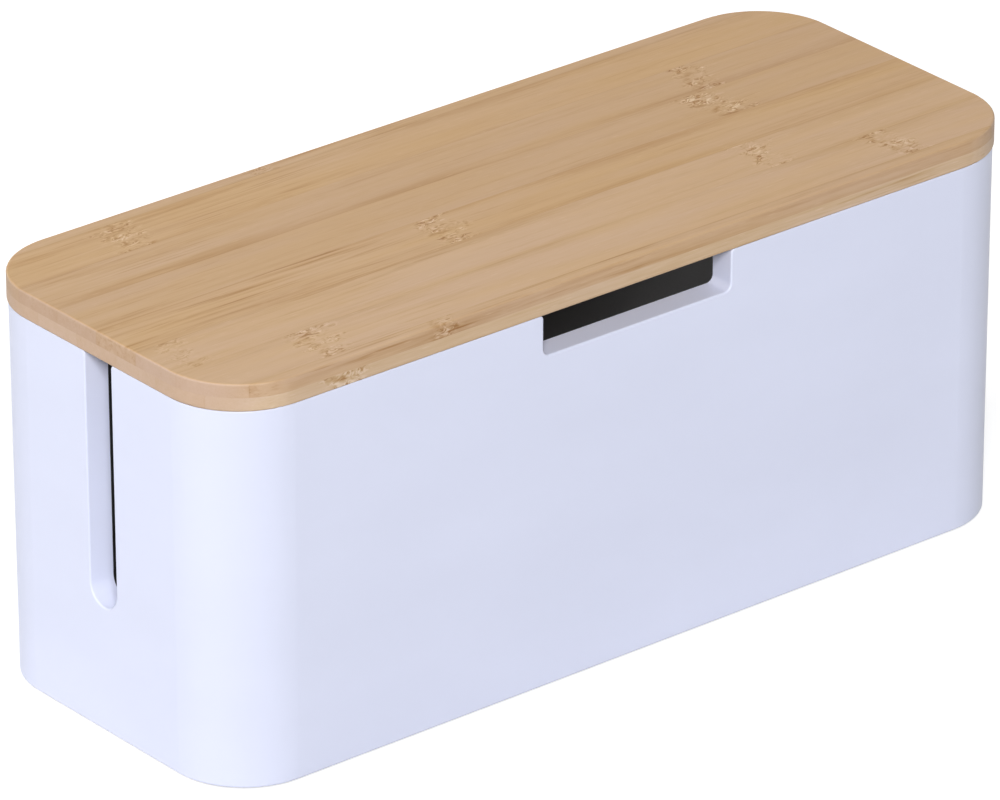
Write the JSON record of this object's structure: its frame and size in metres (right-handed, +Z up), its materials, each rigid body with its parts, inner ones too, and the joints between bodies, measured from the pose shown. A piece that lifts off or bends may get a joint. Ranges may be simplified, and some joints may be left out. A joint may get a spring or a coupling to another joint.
{
  "type": "cable management box",
  "caption": "Long white box that hides a power strip and its leads, with a lift-off bamboo lid, a wide notch in the front rim and a tall round-ended slot in each end.",
  "frame": {"origin": "on the surface that the feet stand on, under the middle of the lid", "axes": "+X along the box, -Y the front with the wide notch, +Z up"},
  "size_m": [0.32, 0.1256, 0.1365],
  "materials": {
    "shell_white": "satin moulded",
    "liner_charcoal": "fine matt texture",
    "bamboo_upper": "sanded, thin matt lacquer",
    "bamboo_lower": "sanded, thin matt lacquer",
    "bamboo_block": "sanded",
    "foot_rubber": "matt",
    "screw_steel": "zinc plated"
  },
  "bodies": {
    "box": {"outer_shell": "shell_white", "inner_liner": "liner_charcoal", "base_screws": "screw_steel", "foot_front_left": "foot_rubber", "foot_front_right": "foot_rubber", "foot_rear_left": "foot_rubber", "foot_rear_right": "foot_rubber"},
    "lid": {"top_lath_1": "bamboo_upper", "top_lath_2": "bamboo_upper", "top_lath_3": "bamboo_upper", "top_lath_4": "bamboo_upper", "top_lath_5": "bamboo_upper", "top_lath_6": "bamboo_upper", "top_lath_7": "bamboo_upper", "top_lath_8": "bamboo_upper", "lower_lath_1": "bamboo_lower", "lower_lath_2": "bamboo_lower", "lower_lath_3": "bamboo_lower", "lower_lath_4": "bamboo_lower", "lower_lath_5": "bamboo_lower", "lower_lath_6": "bamboo_lower", "lower_lath_7": "bamboo_lower", "lid_block_front_left": "bamboo_block", "lid_block_front_right": "bamboo_block", "lid_block_rear_left": "bamboo_block", "lid_block_rear_right": "bamboo_block", "lid_block_screws": "screw_steel"}
  },
  "joints": [
    {"name": "lid_lift", "type": "slide", "parent": "box", "child": "lid", "axis": [0, 0, 1], "range_m": [0, 0.2]}
  ]
}
